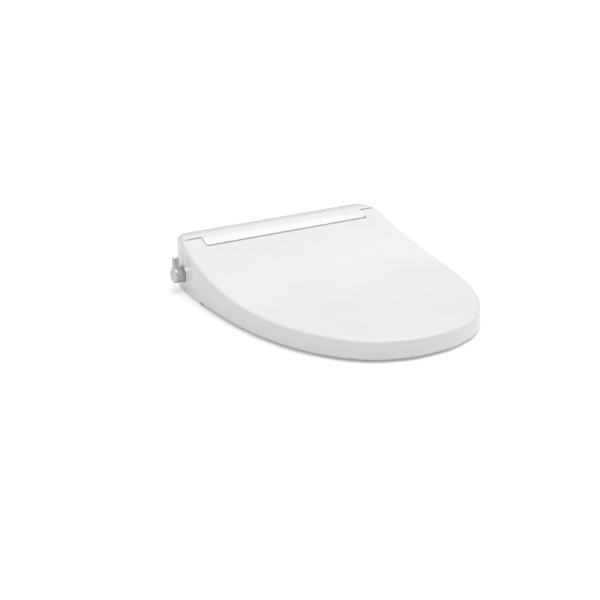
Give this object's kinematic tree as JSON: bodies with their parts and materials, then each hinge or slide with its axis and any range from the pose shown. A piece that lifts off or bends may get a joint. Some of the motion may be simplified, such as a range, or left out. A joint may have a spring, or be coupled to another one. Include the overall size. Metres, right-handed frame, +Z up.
{
  "type": "bidet seat",
  "caption": "White toilet bidet seat with hinged lid and ring, chrome side lever, sliding wash nozzles and a slide-off bowl mounting plate.",
  "frame": {"origin": "on the bowl rim plane, midway between the two bowl bolts", "axes": "+Z up, -Y towards the front of the seat, +X to the left of a seated user"},
  "size_m": [0.3969, 0.4776, 0.1283],
  "materials": {
    "gloss_white": "gloss moulded",
    "satin_white": "satin moulded",
    "chrome": "polished plating",
    "steel": "bright stainless",
    "brass": "turned",
    "grey_rubber": "soft matt",
    "black_rubber": "matt",
    "grey_plastic": "moulded",
    "ivory_plastic": "smooth",
    "tip_plastic": "gloss",
    "hose_plastic": "extruded tube"
  },
  "bodies": {
    "mount": {"mounting_plate": "satin_white", "bolt_adjusters": "grey_plastic", "mounting_bolts": "steel", "expansion_plugs": "black_rubber", "plug_nuts": "brass"},
    "base": {"upper_cover": "gloss_white", "lower_case": "satin_white", "base_feet": "grey_rubber", "case_screws": "steel", "hinge_pins": "steel", "lid_damper": "grey_plastic", "seat_damper": "grey_plastic", "damper_saddles": "grey_plastic", "valve_body": "grey_plastic", "valve_collar": "satin_white", "inlet_spigot": "brass", "check_valve": "grey_plastic", "inlet_filter": "steel", "nozzle_cradle": "ivory_plastic", "nozzle_shield": "satin_white", "rear_wash_hose": "hose_plastic", "front_wash_hose": "hose_plastic", "release_spring": "steel"},
    "lever": {"valve_lever": "chrome", "valve_spindle": "brass"},
    "rear_wand": {"rear_nozzle": "ivory_plastic", "rear_nozzle_tip": "tip_plastic"},
    "front_wand": {"front_nozzle": "ivory_plastic", "front_nozzle_tip": "tip_plastic"},
    "button": {"release_button": "gloss_white"},
    "seat": {"seat_ring": "gloss_white", "seat_base_plate": "satin_white", "seat_bumpers": "grey_rubber"},
    "lid": {"lid": "gloss_white", "lid_hinge_bushes": "grey_plastic", "lid_bumpers": "grey_rubber"}
  },
  "joints": [
    {"name": "unit_slide", "type": "slide", "parent": "mount", "child": "base", "axis": [0, -1, 0], "range_m": [0, 0.04]},
    {"name": "seat_hinge", "type": "hinge", "parent": "base", "child": "seat", "pos_m": [0, -0.006, 0.072], "axis": [-1, 0, 0], "range_deg": [0, 15]},
    {"name": "lid_hinge", "type": "hinge", "parent": "seat", "child": "lid", "pos_m": [0, -0.006, 0.072], "axis": [-1, 0, 0], "range_deg": [0, 78]},
    {"name": "lever_turn", "type": "hinge", "parent": "base", "child": "lever", "pos_m": [-0.19, 0.0015, 0.0283], "axis": [-1, 0, 0], "range_deg": [-60, 60]},
    {"name": "rear_nozzle_slide", "type": "slide", "parent": "base", "child": "rear_wand", "axis": [0, -0.9703, -0.2419], "range_m": [0, 0.065], "stiffness_N_per_m": 20, "springref_m": -0.02},
    {"name": "front_nozzle_slide", "type": "slide", "parent": "base", "child": "front_wand", "axis": [0, -0.9703, -0.2419], "range_m": [0, 0.065], "stiffness_N_per_m": 20, "springref_m": -0.02},
    {"name": "release_press", "type": "slide", "parent": "base", "child": "button", "axis": [-1, 0, 0], "range_m": [0, 0.0035], "stiffness_N_per_m": 400, "springref_m": -0.003, "deforming": ["release_spring"]}
  ]
}
